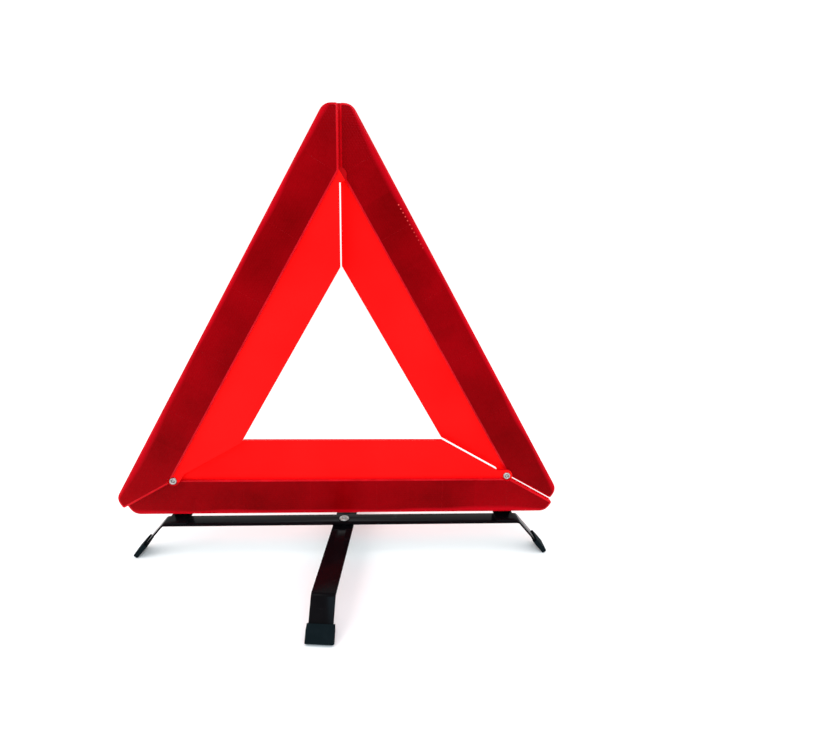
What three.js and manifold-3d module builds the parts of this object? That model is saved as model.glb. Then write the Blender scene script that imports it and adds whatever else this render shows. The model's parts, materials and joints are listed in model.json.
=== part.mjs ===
// Folding warning triangle: three reflector arms riveted at their corners, on a two-strip steel stand.
// Millimetres. +X to the right, +Y away from the viewer, +Z up. The origin is on the floor, under the
// rivet that joins the two strips of the stand.

import * as THREE from 'three';
import { mergeVertices } from 'three/addons/utils/BufferGeometryUtils.js';
import Module from 'manifold-3d';

// ---- Driving dimensions --------------------------------------------------------------------------

// The triangle, measured on its sharp theoretical outline
const SIDE = 453;
const BAND = 75.7; // width of an arm
const REFLECTOR_BAND = 35.9; // outer part of the arm that carries the reflector
const CORNER_CUT = 20.4; // blunting of each corner, along its bisector
const TOP_CUT_BEHIND = 18.2; // the same for the upper end of the right arm, which stands behind
const MITRE_GAP = 0.5; // between two arms, where they meet
const TIP_R = 12; // rounding of an arm's blunt tip, on its outer edge
const TIP_LOSS = 1.9; // how much of it goes for every millimetre that an outline is inset
const NOTCH_R = 2; // and where it meets the mitre
const EDGE_R = 1.4; // rounding of the inner ends of an arm
const PIVOT_REACH = 75.2; // from a theoretical corner to its rivet, along the bisector

// The depth of an arm, from the front of its reflector to the back of its panel
const RECESS = 3.4; // fluorescent face behind the reflector's face
const PLATE = 1.7;
const BACK_FLANGE = 1.8; // depth of the ribs and the rim behind the plate
const ARM_DEPTH = RECESS + PLATE + BACK_FLANGE;
const GAP = 0.3; // clearance between neighbouring pieces
const LAYER_PITCH = ARM_DEPTH + GAP;

// Reflector: a raised field of prisms on a thin flange, with a plug that sits in the panel's tray
const FIELD_INSET = 1.6;
const FIELD_RISE = 0.3;
const FLANGE_INSET = 0.15;
const FLANGE = 1;
const LENS_FACE = 1.9;
const LENS_WALL = 1.4;
const TRAY_WALL = 2;
const TRAY_TOP = FIELD_RISE + FLANGE + GAP;

// Pivots
const EAR_R = 5.7;
const EAR_TONGUE = 13; // an ear runs on into its arm as a tongue of its own width
const LATCH_EAR_R = 6.2;
const PIVOT_HOLE_R = 2.3;
const RIVET_SHANK_R = 2;
const HEAD_BAY_R = 4.5; // round bay in a reflector beside a rivet's head
const BOSS_R = 4.4;
const BOSS_BAY_R = 4.9; // and one that holds a pivot boss
const PIVOT_WASHER = 0.6;
const SPACER_R = 4;
const SPACER_BAY_R = 5; // open bay that lets the right arm fold onto the left rivet's spacer
const RIB_COUNT = 6; // ribs across the back of an arm
const RIB_WIDTH = 1.6;
const BACK_RIM = 2.4; // width of the rim around the back
const SPINE_WIDTH = 3; // rib along the back, behind the reflector's inner edge

// Latch at the top corner, as distances from the theoretical corner and across the bisector
const TAB_FAR = 70.2;
const TAB_NEAR = 18.4;
const TAB_REACH = 9;
const STUD_FROM_CORNER = 52;
const STUD_ASIDE = 5;
const STUD_R = 3.2;
const DIMPLE = 1;

// The stand
const BAR_WIDTH = 17.6;
const LEG_WIDTH = 20.2;
const STRIP = 1.6; // thickness of both strips
const BAR_TOP = 35;
const ARM_CLEARANCE = 8.1; // from the bar to the lower edge of the arms
const BAR_BEND_X = 175.5;
const BAR_DROP_ANGLE = THREE.MathUtils.degToRad(49.6);
const WASHER = 0.8;
const WASHER_R = 5.5;
const LEG_TOP = BAR_TOP - STRIP - WASHER - 2 * GAP;
const LEG_BEND_Y = 113.4;
const LEG_DROP_ANGLE = THREE.MathUtils.degToRad(55);
const LEG_SWING = THREE.MathUtils.degToRad(-5.2);
const METAL_LIFT = 3.8; // from the floor to the end of a strip, inside its rubber foot
const BEND_R = 5; // outside radius of the strips' bends
const BRACKET_WIDTH = 19;
const BRACKET_TOP_R = 6.3; // rounding of its upper end, around the rivet
const BRACKET_STEEL = 1.5;

// Rubber feet
const SIDE_FOOT = { length: 16, width: 21, round: 1.5 };
const LEG_FOOT = { length: 15.2, width: 23.6, round: 1.5 };
const FOOT_TOP_DEPTH = 4.4;
const FOOT_SOLE_DEPTH = 5.9;
const FOOT_TIP = 3; // rubber past the end of the strip

// The two kinds of rivet: through the plastic arms, and through the steel strips
const CORNER_HEAD_R = 3.7;
const CORNER_HEAD = 1.3;
const CORNER_BORE_R = 1.6;
const CORNER_BORE = 1.6;
const CORNER_TAIL_R = 3.6;
const CORNER_TAIL = 1.2;
const CENTRE_HEAD_R = 4.8;
const CENTRE_HEAD = 1.4;
const CENTRE_BORE_R = 2.4;
const CENTRE_SHANK_R = 2.5;
const CENTRE_HOLE_R = 2.8;
const CENTRE_TAIL_R = 4.2;
const CENTRE_TAIL = 1.3;
const TAIL_BORE_R = 1.4;
const TAIL_BORE = 3;
const ROLL = 0.4; // softening of a rivet's rolled edges

// ---- Values that follow from them ----------------------------------------------------------------

const SIN30 = 0.5;
const COS30 = Math.sqrt(3) / 2;
const HALF_SIDE = SIDE / 2;
const PIVOT_U = HALF_SIDE - PIVOT_REACH * COS30;
const PIVOT_V = PIVOT_REACH * SIN30;
const ARM_BASE_Z = BAR_TOP + ARM_CLEARANCE;
const INRADIUS = SIDE / (2 * Math.sqrt(3));
const CENTROID_Z = ARM_BASE_Z + INRADIUS;
const PIVOT_Z = ARM_BASE_Z + PIVOT_V;
const BOTTOM_FRONT = -2; // front of the bottom arm's reflector, just ahead of the bar's centre line
const LEFT_FRONT = BOTTOM_FRONT - LAYER_PITCH;
const RIGHT_FRONT = BOTTOM_FRONT + LAYER_PITCH;
const BRACKET_FRONT = RIGHT_FRONT + ARM_DEPTH + GAP;
const BRACKET_BACK = BRACKET_FRONT + BRACKET_STEEL;
const PLATE_BACK = RECESS + PLATE;
const PLUG_BACK = RECESS - GAP;
const CURVE_STEPS = 6;
const ROUND_STEPS = 32;
const FAR = 400; // longer than any piece, for cutting tools
const OVERLAP = 1; // how far a cutting tool runs past what it cuts

// ---- Materials -----------------------------------------------------------------------------------

function finish(color, roughness, metalness = 0) {
  return new THREE.MeshStandardMaterial({ color, roughness, metalness });
}

const fluorescentRed = () => finish(0xfe1919, 0.35);
const reflectorRed = () => finish(0x9d0512, 0.12);
const blackPaint = () => finish(0x15121a, 0.25);
const blackRubber = () => finish(0x101214, 0.85);
const zincSteel = () => finish(0xb8b4b0, 0.3, 1);
const springSteel = () => finish(0x77777c, 0.35, 1);
const blackPlastic = () => finish(0x1a1a1a, 0.6);

// ---- Solids --------------------------------------------------------------------------------------

const wasm = await Module();
wasm.setup();

// A closed three.js geometry as a solid for cutting and joining
function solid(geometry) {
  const bare = geometry.clone();
  bare.deleteAttribute('normal');
  bare.deleteAttribute('uv');
  const merged = mergeVertices(bare, 1e-4);
  const vertProperties = Float32Array.from(merged.attributes.position.array);
  const triVerts = Uint32Array.from(merged.index.array);
  return new wasm.Manifold(new wasm.Mesh({ numProp: 3, vertProperties, triVerts }));
}

// A finished solid as a named mesh
function piece(name, shape, material) {
  const { vertProperties, triVerts } = shape.getMesh();
  const geometry = new THREE.BufferGeometry();
  geometry.setAttribute('position', new THREE.BufferAttribute(vertProperties, 3));
  geometry.setIndex(new THREE.BufferAttribute(triVerts, 1));
  geometry.computeVertexNormals();
  const mesh = new THREE.Mesh(geometry, material);
  mesh.name = name;
  return mesh;
}

// An outline whose corners are rounded, each by its own radius
function roundedShape(points, radii) {
  const shape = new THREE.Shape();
  points.forEach((corner, i) => {
    const before = points[(i + points.length - 1) % points.length];
    const after = points[(i + 1) % points.length];
    const back = before.clone().sub(corner).normalize();
    const ahead = after.clone().sub(corner).normalize();
    const halfAngle = Math.acos(THREE.MathUtils.clamp(back.dot(ahead), -1, 1)) / 2;
    const cut = radii[i] / Math.tan(halfAngle);
    const start = corner.clone().addScaledVector(back, cut);
    const end = corner.clone().addScaledVector(ahead, cut);
    if (i === 0) shape.moveTo(start.x, start.y);
    else shape.lineTo(start.x, start.y);
    if (radii[i] > 0) shape.quadraticCurveTo(corner.x, corner.y, end.x, end.y);
  });
  shape.closePath();
  return shape;
}

function extruded(shape, depth) {
  return new THREE.ExtrudeGeometry(shape, { depth, bevelEnabled: false, curveSegments: CURVE_STEPS });
}

// An outline drawn in X and Z, made solid from y = front to y = back
function slab(shape, front, back) {
  const geometry = extruded(shape, back - front);
  geometry.rotateX(Math.PI / 2);
  geometry.translate(0, back, 0);
  return solid(geometry);
}

// An outline drawn in Y and Z, made solid over a width centred on x = 0
function strip(shape, width) {
  const geometry = extruded(shape, width);
  geometry.translate(0, 0, -width / 2);
  geometry.applyMatrix4(new THREE.Matrix4().makeBasis(
    new THREE.Vector3(0, 1, 0),
    new THREE.Vector3(0, 0, 1),
    new THREE.Vector3(1, 0, 0),
  ));
  return solid(geometry);
}

function block(width, depth, height, x, y, z) {
  return solid(new THREE.BoxGeometry(width, depth, height).translate(x, y, z));
}

// A round post along Y
function post(radius, front, back, x = 0, z = 0) {
  const geometry = new THREE.CylinderGeometry(radius, radius, back - front, ROUND_STEPS);
  return solid(geometry.translate(x, (front + back) / 2, z));
}

// A round post along Z
function upright(radius, low, high) {
  const geometry = new THREE.CylinderGeometry(radius, radius, high - low, ROUND_STEPS);
  return solid(geometry.rotateX(Math.PI / 2).translate(0, 0, (low + high) / 2));
}

// ---- Arms ----------------------------------------------------------------------------------------
// An arm is drawn lying along X with the middle of its outer edge at the origin. Z runs inwards across
// the band and Y from the reflector's face to the back of the panel.

// The band's outline from the outer edge to z = inner, shrunk all round by an inset
function bandOutline(inner, inset, cuts) {
  const mitre = MITRE_GAP / 2 + inset;
  const innerV = inner - inset;
  const mitreU = (v) => HALF_SIDE - v * Math.sqrt(3) - mitre / SIN30;
  const end = (side, cornerCut) => {
    const cut = cornerCut + inset;
    const tipV = (cut - Math.sqrt(3) * mitre) / 2;
    return [
      new THREE.Vector2(side * (HALF_SIDE - (cut - inset * SIN30) / COS30), inset),
      new THREE.Vector2(side * mitreU(tipV), tipV),
      new THREE.Vector2(side * mitreU(innerV), innerV),
    ];
  };
  const radii = [TIP_R - TIP_LOSS * inset, Math.max(NOTCH_R - inset, NOTCH_R / 2), EDGE_R];
  const points = [...end(1, cuts.right), ...end(-1, cuts.left).reverse()];
  return roundedShape(points, [...radii, ...[...radii].reverse()]);
}

// A point near a corner: a from the theoretical corner along the bisector, b outwards across the mitre
function nearCorner(side, a, b) {
  return new THREE.Vector2(side * (HALF_SIDE - a * COS30 + b * SIN30), a * SIN30 + b * COS30);
}

// Round posts at the arm's two pivot points, each with its own radius; a radius of zero leaves one out
function atPivots(radii, front, back, grow = 0) {
  const posts = [['left', -1], ['right', 1]]
    .filter(([end]) => radii[end] > 0)
    .map(([end, side]) => post(radii[end] + grow, front, back, side * PIVOT_U, PIVOT_V));
  return wasm.Manifold.union(posts);
}

// An ear around a rivet hole, with its tongue
function ear(side) {
  const depth = ARM_DEPTH - RECESS;
  const middle = RECESS + depth / 2;
  const tongueU = side * (PIVOT_U - EAR_TONGUE / 2);
  const tongue = block(EAR_TONGUE, depth, 2 * EAR_R, tongueU, middle, PIVOT_V);
  return post(EAR_R, RECESS, ARM_DEPTH, side * PIVOT_U, PIVOT_V).add(tongue);
}

// The raised tray that holds the reflector's plug
function reflectorTray(kind) {
  const outside = slab(bandOutline(REFLECTOR_BAND, 0, kind.cuts), TRAY_TOP, RECESS + PLATE / 2)
    .subtract(atPivots(kind.bays, TRAY_TOP - OVERLAP, RECESS));
  const inside = slab(bandOutline(REFLECTOR_BAND, TRAY_WALL, kind.cuts), 0, RECESS)
    .subtract(atPivots(kind.bays, -OVERLAP, RECESS + OVERLAP, TRAY_WALL));
  return outside.subtract(inside);
}

// The hollows between the ribs and the rim at the back of the panel
function rearPockets(kind) {
  const span = SIDE / (RIB_COUNT + 1);
  const back = ARM_DEPTH + OVERLAP;
  const middle = (PLATE_BACK + back) / 2;
  const tall = back - PLATE_BACK + 2 * OVERLAP;
  let pockets = slab(bandOutline(BAND, BACK_RIM, kind.cuts), PLATE_BACK, back);
  pockets = pockets.subtract(block(SIDE, tall, SPINE_WIDTH, 0, middle, REFLECTOR_BAND + OVERLAP));
  pockets = pockets.subtract(atPivots(kind.bosses, PLATE_BACK - OVERLAP, back + OVERLAP, BACK_RIM));
  for (let rib = 1; rib <= RIB_COUNT; rib += 1) {
    const u = -HALF_SIDE + rib * span;
    pockets = pockets.subtract(block(RIB_WIDTH, tall, BAND * 2, u, middle, BAND));
  }
  return pockets;
}

// The fluorescent panel: plate, reflector tray and ribbed back, to which each arm adds its ears
function armPanel(kind) {
  return slab(bandOutline(BAND, 0, kind.cuts), RECESS, ARM_DEPTH)
    .add(reflectorTray(kind))
    .subtract(rearPockets(kind));
}

function pivotHole(side) {
  return post(PIVOT_HOLE_R, -FAR, FAR, side * PIVOT_U, PIVOT_V);
}

// The prismatic reflector: a raised field and its flange, on a hollow plug that fits the tray
function armReflector(kind) {
  const plug = TRAY_WALL + GAP;
  const flangeBack = FIELD_RISE + FLANGE;
  const front = slab(bandOutline(REFLECTOR_BAND, FIELD_INSET, kind.cuts), 0, flangeBack)
    .add(slab(bandOutline(REFLECTOR_BAND, FLANGE_INSET, kind.cuts), FIELD_RISE, flangeBack))
    .subtract(atPivots(kind.bays, -OVERLAP, RECESS));
  const body = slab(bandOutline(REFLECTOR_BAND, plug, kind.cuts), flangeBack - FLANGE / 2, PLUG_BACK)
    .subtract(atPivots(kind.bays, 0, RECESS, plug));
  const hollow = slab(bandOutline(REFLECTOR_BAND, plug + LENS_WALL, kind.cuts), LENS_FACE, RECESS)
    .subtract(atPivots(kind.bays, LENS_FACE - OVERLAP, RECESS + OVERLAP, plug + LENS_WALL));
  return front.add(body).subtract(hollow);
}

// What differs between the three arms: blunted ends, bays in the reflector, and bosses behind
const bottomKind = {
  cuts: { left: CORNER_CUT, right: CORNER_CUT },
  bays: { left: BOSS_BAY_R, right: HEAD_BAY_R },
  bosses: { left: EAR_R, right: EAR_R },
};
const leftKind = {
  cuts: { left: CORNER_CUT, right: CORNER_CUT },
  bays: { left: 0, right: HEAD_BAY_R },
  bosses: { left: LATCH_EAR_R, right: EAR_R },
};
const rightKind = {
  cuts: { left: CORNER_CUT, right: TOP_CUT_BEHIND },
  bays: { left: BOSS_BAY_R, right: SPACER_BAY_R },
  bosses: { left: EAR_R, right: SPACER_BAY_R },
};

// Bottom arm: an ear and a rivet hole at both ends
function bottomPanel() {
  return armPanel(bottomKind)
    .add(ear(-1))
    .add(ear(1))
    .subtract(pivotHole(-1))
    .subtract(pivotHole(1));
}

// Left arm: its pivot is at +X; its top end, at -X, carries the latch stud
function leftPanel() {
  const stud = nearCorner(-1, STUD_FROM_CORNER, -STUD_ASIDE);
  const fused = RECESS + PLATE / 2;
  return armPanel(leftKind)
    .add(ear(1))
    .add(post(LATCH_EAR_R, RECESS, ARM_DEPTH, -PIVOT_U, PIVOT_V))
    .add(post(BOSS_R, fused, LAYER_PITCH + RECESS - PIVOT_WASHER - 2 * GAP, PIVOT_U, PIVOT_V))
    .add(post(STUD_R, fused, ARM_DEPTH + LAYER_PITCH, stud.x, stud.y))
    .subtract(pivotHole(1));
}

// Right arm: its pivot is at -X; its top end, at +X, carries the tab behind the left arm
function rightPanel() {
  const tab = roundedShape([
    nearCorner(1, TAB_FAR, -TRAY_WALL),
    nearCorner(1, TAB_FAR, TAB_REACH),
    nearCorner(1, TAB_NEAR, TAB_REACH),
    nearCorner(1, TAB_NEAR, -TRAY_WALL),
  ].reverse(), [ROLL, TRAY_WALL, TRAY_WALL, ROLL]);
  const stud = nearCorner(1, STUD_FROM_CORNER, STUD_ASIDE);
  return armPanel(rightKind)
    .add(ear(-1))
    .add(post(BOSS_R, PIVOT_WASHER + GAP, RECESS + PLATE / 2, -PIVOT_U, PIVOT_V))
    .add(slab(tab, TRAY_TOP, ARM_DEPTH))
    .subtract(post(STUD_R + GAP, 0, TRAY_TOP + DIMPLE, stud.x, stud.y))
    .subtract(post(SPACER_BAY_R, -OVERLAP, ARM_DEPTH + OVERLAP, PIVOT_U, PIVOT_V))
    .subtract(pivotHole(-1));
}

// An arm turned about the triangle's centre to its own side, with its pieces in their layer
function arm(name, panel, kind, front, turn) {
  const group = new THREE.Group();
  group.position.set(0, front, CENTROID_Z);
  group.rotation.y = turn;
  const panelMesh = piece(`${name}_arm_panel`, panel, fluorescentRed());
  const lensMesh = piece(`${name}_arm_reflector`, armReflector(kind), reflectorRed());
  for (const mesh of [panelMesh, lensMesh]) {
    mesh.position.z = -INRADIUS;
    group.add(mesh);
  }
  return group;
}

// ---- Rivets, spacer and washer -------------------------------------------------------------------

// A turned piece from a half outline of [radius, height] points, closed on its axis
function turned(points) {
  const outline = points.map(([r, h]) => new THREE.Vector2(r, h));
  return solid(new THREE.LatheGeometry(outline, ROUND_STEPS));
}

// A tubular rivet along Y: low rolled head in front, rolled tail behind
function cornerRivet(headBack, tailFront) {
  const headFront = headBack - CORNER_HEAD;
  const tailBack = tailFront + CORNER_TAIL;
  return turned([
    [0, headFront + CORNER_BORE],
    [CORNER_BORE_R, headFront + CORNER_BORE],
    [CORNER_BORE_R, headFront + ROLL],
    [CORNER_BORE_R + ROLL, headFront],
    [CORNER_HEAD_R - 2 * ROLL, headFront],
    [CORNER_HEAD_R, headFront + 2 * ROLL],
    [CORNER_HEAD_R, headBack],
    [RIVET_SHANK_R, headBack],
    [RIVET_SHANK_R, tailFront],
    [CORNER_TAIL_R, tailFront],
    [CORNER_TAIL_R - ROLL, tailBack - ROLL],
    [TAIL_BORE_R + 2 * ROLL, tailBack],
    [TAIL_BORE_R, tailBack - ROLL],
    [TAIL_BORE_R, tailBack - TAIL_BORE],
    [0, tailBack - TAIL_BORE],
  ]);
}

// The rivet through the stand, along Z: dished head on top, rolled tail below
function centreRivet() {
  const headBase = BAR_TOP + GAP;
  const headTop = headBase + CENTRE_HEAD;
  const tailTop = LEG_TOP - STRIP - GAP;
  const tailEnd = tailTop - CENTRE_TAIL;
  const shape = turned([
    [0, tailEnd + TAIL_BORE],
    [TAIL_BORE_R, tailEnd + TAIL_BORE],
    [TAIL_BORE_R, tailEnd + ROLL],
    [TAIL_BORE_R + 2 * ROLL, tailEnd],
    [CENTRE_TAIL_R - ROLL, tailEnd + ROLL],
    [CENTRE_TAIL_R, tailTop],
    [CENTRE_SHANK_R, tailTop],
    [CENTRE_SHANK_R, headBase],
    [CENTRE_HEAD_R, headBase],
    [CENTRE_HEAD_R, headTop - 2 * ROLL],
    [CENTRE_HEAD_R - 2 * ROLL, headTop],
    [CENTRE_BORE_R + ROLL, headTop],
    [CENTRE_BORE_R, headTop - ROLL],
    [0, headTop - 2 * ROLL],
  ]);
  return shape.rotate([90, 0, 0]);
}

// A flat ring: outer and inner radius, between two heights along Y
function ring(outer, inner, front, back) {
  return post(outer, front, back).subtract(post(inner, front - OVERLAP, back + OVERLAP));
}

// ---- Stand ---------------------------------------------------------------------------------------

// A steel strip bent down at both ends, in Y and Z: its top face runs through the given points
function bentStripOutline(bend, top, dropAngle, thickness) {
  const drop = top - METAL_LIFT;
  const end = bend + drop / Math.tan(dropAngle);
  const lowerBend = bend - thickness * Math.tan(dropAngle / 2);
  const lowerEnd = end - thickness * Math.sin(dropAngle);
  const lowerEndZ = METAL_LIFT - thickness * Math.cos(dropAngle);
  const half = [
    new THREE.Vector2(bend, top),
    new THREE.Vector2(end, METAL_LIFT),
    new THREE.Vector2(lowerEnd, lowerEndZ),
    new THREE.Vector2(lowerBend, top - thickness),
  ];
  const mirrored = half.map((p) => new THREE.Vector2(-p.x, p.y)).reverse();
  const radii = [BEND_R, GAP, GAP, BEND_R - thickness];
  const allRadii = [...radii, ...[...radii].reverse()];
  return roundedShape([...half, ...mirrored].reverse(), allRadii.reverse());
}

function rivetHole(top) {
  return upright(CENTRE_HOLE_R, top - STRIP - OVERLAP, top + OVERLAP);
}

function crossBar() {
  const outline = bentStripOutline(BAR_BEND_X, BAR_TOP, BAR_DROP_ANGLE, STRIP);
  return strip(outline, BAR_WIDTH).rotate([0, 0, 90]).subtract(rivetHole(BAR_TOP));
}

function swivelLeg() {
  const outline = bentStripOutline(LEG_BEND_Y, LEG_TOP, LEG_DROP_ANGLE, STRIP);
  return strip(outline, LEG_WIDTH).subtract(rivetHole(LEG_TOP));
}

// An angle bracket welded to the bar: foot on the bar, upright behind the arms up to the rivet
function bracket(side) {
  const footFront = GAP - BAR_WIDTH / 2;
  const low = BAR_TOP + GAP;
  const top = PIVOT_Z + BRACKET_TOP_R;
  const profile = roundedShape([
    new THREE.Vector2(footFront, low),
    new THREE.Vector2(BRACKET_BACK, low),
    new THREE.Vector2(BRACKET_BACK, top),
    new THREE.Vector2(BRACKET_FRONT, top),
    new THREE.Vector2(BRACKET_FRONT, low + BRACKET_STEEL),
    new THREE.Vector2(footFront, low + BRACKET_STEEL),
  ], [GAP, BRACKET_STEEL + 1, GAP, GAP, 1, GAP]);
  const face = new THREE.Shape();
  const half = BRACKET_WIDTH / 2;
  face.moveTo(-half, low - OVERLAP);
  face.lineTo(half, low - OVERLAP);
  face.lineTo(half, ARM_BASE_Z);
  face.lineTo(BRACKET_TOP_R, PIVOT_Z);
  face.absarc(0, PIVOT_Z, BRACKET_TOP_R, 0, Math.PI, false);
  face.lineTo(-half, ARM_BASE_Z);
  face.closePath();
  return strip(profile, BRACKET_WIDTH)
    .intersect(slab(face, -FAR, FAR))
    .subtract(post(PIVOT_HOLE_R, -FAR, FAR, 0, PIVOT_Z))
    .translate([side * PIVOT_U, 0, 0]);
}

// A rubber boot on the end of a strip, drawn at the +Y end of that strip: it follows the strip's slope,
// flares towards its sole, and is cut flat where it stands on the floor
function rubberFoot(bend, top, dropAngle, stripWidth, foot) {
  const end = bend + (top - METAL_LIFT) / Math.tan(dropAngle);
  const along = new THREE.Vector2(Math.cos(dropAngle), -Math.sin(dropAngle));
  const outward = new THREE.Vector2(Math.sin(dropAngle), Math.cos(dropAngle));
  const middle = new THREE.Vector2(end, METAL_LIFT).addScaledVector(outward, -STRIP / 2);
  const at = (a, b) => middle.clone().addScaledVector(along, a).addScaledVector(outward, b);
  const upper = FOOT_TIP - foot.length;
  const neck = upper + foot.length / 3;
  const thin = FOOT_TOP_DEPTH / 2;
  const thick = FOOT_SOLE_DEPTH / 2;
  const side = roundedShape([
    at(upper, -thin),
    at(neck, -thick),
    at(FOOT_TIP, -thick),
    at(FOOT_TIP, thick),
    at(neck, thick),
    at(upper, thin),
  ], [thin / 2, STRIP, GAP, STRIP / 2, STRIP, thin / 2]);
  const half = foot.width / 2;
  const plan = roundedShape([
    new THREE.Vector2(-half, upper),
    new THREE.Vector2(half, upper),
    new THREE.Vector2(half, FOOT_TIP),
    new THREE.Vector2(-half, FOOT_TIP),
  ], [foot.round, foot.round, GAP, GAP]);
  const planSolid = slab(plan, -FOOT_SOLE_DEPTH, FOOT_SOLE_DEPTH)
    .rotate([-THREE.MathUtils.radToDeg(dropAngle) - 90, 0, 0])
    .translate([0, middle.x, middle.y]);
  const socketHalf = STRIP / 2 + GAP;
  const socket = roundedShape([
    at(upper - STRIP, -socketHalf),
    at(GAP, -socketHalf),
    at(GAP, socketHalf),
    at(upper - STRIP, socketHalf),
  ], [0, 0, 0, 0]);
  return strip(side, foot.width)
    .intersect(planSolid)
    .subtract(strip(socket, stripWidth + 2 * GAP))
    .subtract(block(FAR, FAR, BAR_TOP, 0, end, -BAR_TOP / 2));
}

function sideFoot(turn) {
  return rubberFoot(BAR_BEND_X, BAR_TOP, BAR_DROP_ANGLE, BAR_WIDTH, SIDE_FOOT).rotate([0, 0, turn]);
}

function legFoot(turn) {
  return rubberFoot(LEG_BEND_Y, LEG_TOP, LEG_DROP_ANGLE, LEG_WIDTH, LEG_FOOT).rotate([0, 0, turn]);
}

// ---- Assembly ------------------------------------------------------------------------------------

const triangle = new THREE.Group();

const THIRD = (2 * Math.PI) / 3;
triangle.add(arm('bottom', bottomPanel(), bottomKind, BOTTOM_FRONT, 0));
triangle.add(arm('left', leftPanel(), leftKind, LEFT_FRONT, THIRD));
triangle.add(arm('right', rightPanel(), rightKind, RIGHT_FRONT, -THIRD));

const tailFront = BRACKET_BACK + GAP;
const leftRivetShape = cornerRivet(LEFT_FRONT + PLUG_BACK, tailFront);
const rightRivetShape = cornerRivet(BOTTOM_FRONT + PLUG_BACK, tailFront);
const leftRivet = piece('left_corner_rivet', leftRivetShape, zincSteel());
const rightRivet = piece('right_corner_rivet', rightRivetShape, zincSteel());
const spacerShape = ring(SPACER_R, PIVOT_HOLE_R, RIGHT_FRONT, RIGHT_FRONT + ARM_DEPTH);
const spacer = piece('left_rivet_spacer', spacerShape, blackPlastic());
const pivotWasher = (front) => ring(BOSS_R, PIVOT_HOLE_R, front, front + PIVOT_WASHER);
const leftWasherFront = BOTTOM_FRONT + PLUG_BACK - PIVOT_WASHER;
const leftWasher = piece('left_pivot_washer', pivotWasher(leftWasherFront), springSteel());
const rightWasher = piece('right_pivot_washer', pivotWasher(RIGHT_FRONT), springSteel());
for (const mesh of [leftRivet, leftWasher, spacer]) mesh.position.set(-PIVOT_U, 0, PIVOT_Z);
for (const mesh of [rightRivet, rightWasher]) mesh.position.set(PIVOT_U, 0, PIVOT_Z);
triangle.add(leftRivet, leftWasher, spacer, rightRivet, rightWasher);

triangle.add(piece('cross_bar', crossBar(), blackPaint()));
triangle.add(piece('left_bracket', bracket(-1), blackPaint()));
triangle.add(piece('right_bracket', bracket(1), blackPaint()));
triangle.add(piece('left_foot', sideFoot(90), blackRubber()));
triangle.add(piece('right_foot', sideFoot(-90), blackRubber()));
triangle.add(piece('centre_rivet', centreRivet(), zincSteel()));

const washer = piece('spring_washer', ring(WASHER_R, CENTRE_HOLE_R, 0, WASHER), springSteel());
washer.rotation.x = Math.PI / 2;
washer.position.z = BAR_TOP - STRIP - GAP - WASHER;
triangle.add(washer);

const swivel = new THREE.Group();
swivel.rotation.z = LEG_SWING;
swivel.add(piece('swivel_leg', swivelLeg(), blackPaint()));
swivel.add(piece('rear_foot', legFoot(0), blackRubber()));
swivel.add(piece('front_foot', legFoot(180), blackRubber()));
triangle.add(swivel);

export default triangle;
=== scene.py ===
"""A folding warning triangle on its crossed steel stand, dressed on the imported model.

Lengths are metres in the model's frame: the floor is z = 0, +X is to the right and +Y is away from
the viewer. An arm's own pieces are drawn in the bottom arm's place and turned to their own side.
"""

import json
import math

import bmesh
import bpy
from mathutils import Matrix, Vector


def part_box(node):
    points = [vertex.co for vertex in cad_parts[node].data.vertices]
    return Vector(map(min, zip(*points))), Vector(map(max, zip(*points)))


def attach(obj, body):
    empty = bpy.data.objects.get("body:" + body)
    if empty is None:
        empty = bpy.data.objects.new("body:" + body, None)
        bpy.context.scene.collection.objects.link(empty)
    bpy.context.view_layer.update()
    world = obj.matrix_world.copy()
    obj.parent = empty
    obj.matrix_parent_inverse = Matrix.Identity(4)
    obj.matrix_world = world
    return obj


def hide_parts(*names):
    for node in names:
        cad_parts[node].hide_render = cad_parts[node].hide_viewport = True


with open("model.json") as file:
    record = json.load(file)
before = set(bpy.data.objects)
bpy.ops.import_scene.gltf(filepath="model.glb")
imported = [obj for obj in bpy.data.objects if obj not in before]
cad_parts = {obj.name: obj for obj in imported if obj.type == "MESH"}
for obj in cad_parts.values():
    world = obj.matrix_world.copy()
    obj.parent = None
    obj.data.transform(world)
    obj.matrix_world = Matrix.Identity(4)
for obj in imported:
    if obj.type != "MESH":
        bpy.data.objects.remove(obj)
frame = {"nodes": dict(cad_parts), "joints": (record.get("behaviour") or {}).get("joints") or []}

MM = 0.001
ROOT3 = math.sqrt(3)
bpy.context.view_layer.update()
scene = bpy.context.scene

# ---- Driving dimensions, as in the part ------------------------------------------------------------

SIDE = 453 * MM  # of the triangle, between sharp theoretical corners
MITRE_GAP = 0.5 * MM
CORNER_CUT = 20.4 * MM  # off a sharp corner, along its bisector
TOP_CUT_BEHIND = 18.2 * MM  # the same at the right arm's upper end
TIP_R = 12 * MM
TIP_LOSS = 1.9  # how much of it goes for every millimetre that an outline is inset
FLANGE_INSET = 0.15 * MM
FIELD_INSET = 1.6 * MM  # from the band's outline to the field of prisms
HEAD_BAY_R = 4.5 * MM  # round bay in a reflector beside a rivet's head
BOSS_BAY_R = 4.9 * MM  # and one that holds a pivot boss
SPACER_BAY_R = 5 * MM  # and the right arm's, which goes over the left rivet's spacer
STRIP = 1.6 * MM
BAR_BEND = 175.5 * MM
BAR_DROP = math.radians(49.6)
LEG_BEND = 113.4 * MM
LEG_DROP = math.radians(55)
LEG_SWING = math.radians(-5.2)
LEG_WIDTH = 20.2 * MM
METAL_LIFT = 3.8 * MM  # from the floor to the end of a strip, inside its rubber boot
BOOT_LENGTH = 16 * MM
LEG_BOOT_LENGTH = 15.2 * MM
LEG_BOOT_WIDTH = 23.6 * MM
BOOT_TIP = 3 * MM  # rubber past the end of the strip

# ---- What follows from the frame -------------------------------------------------------------------

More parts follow.
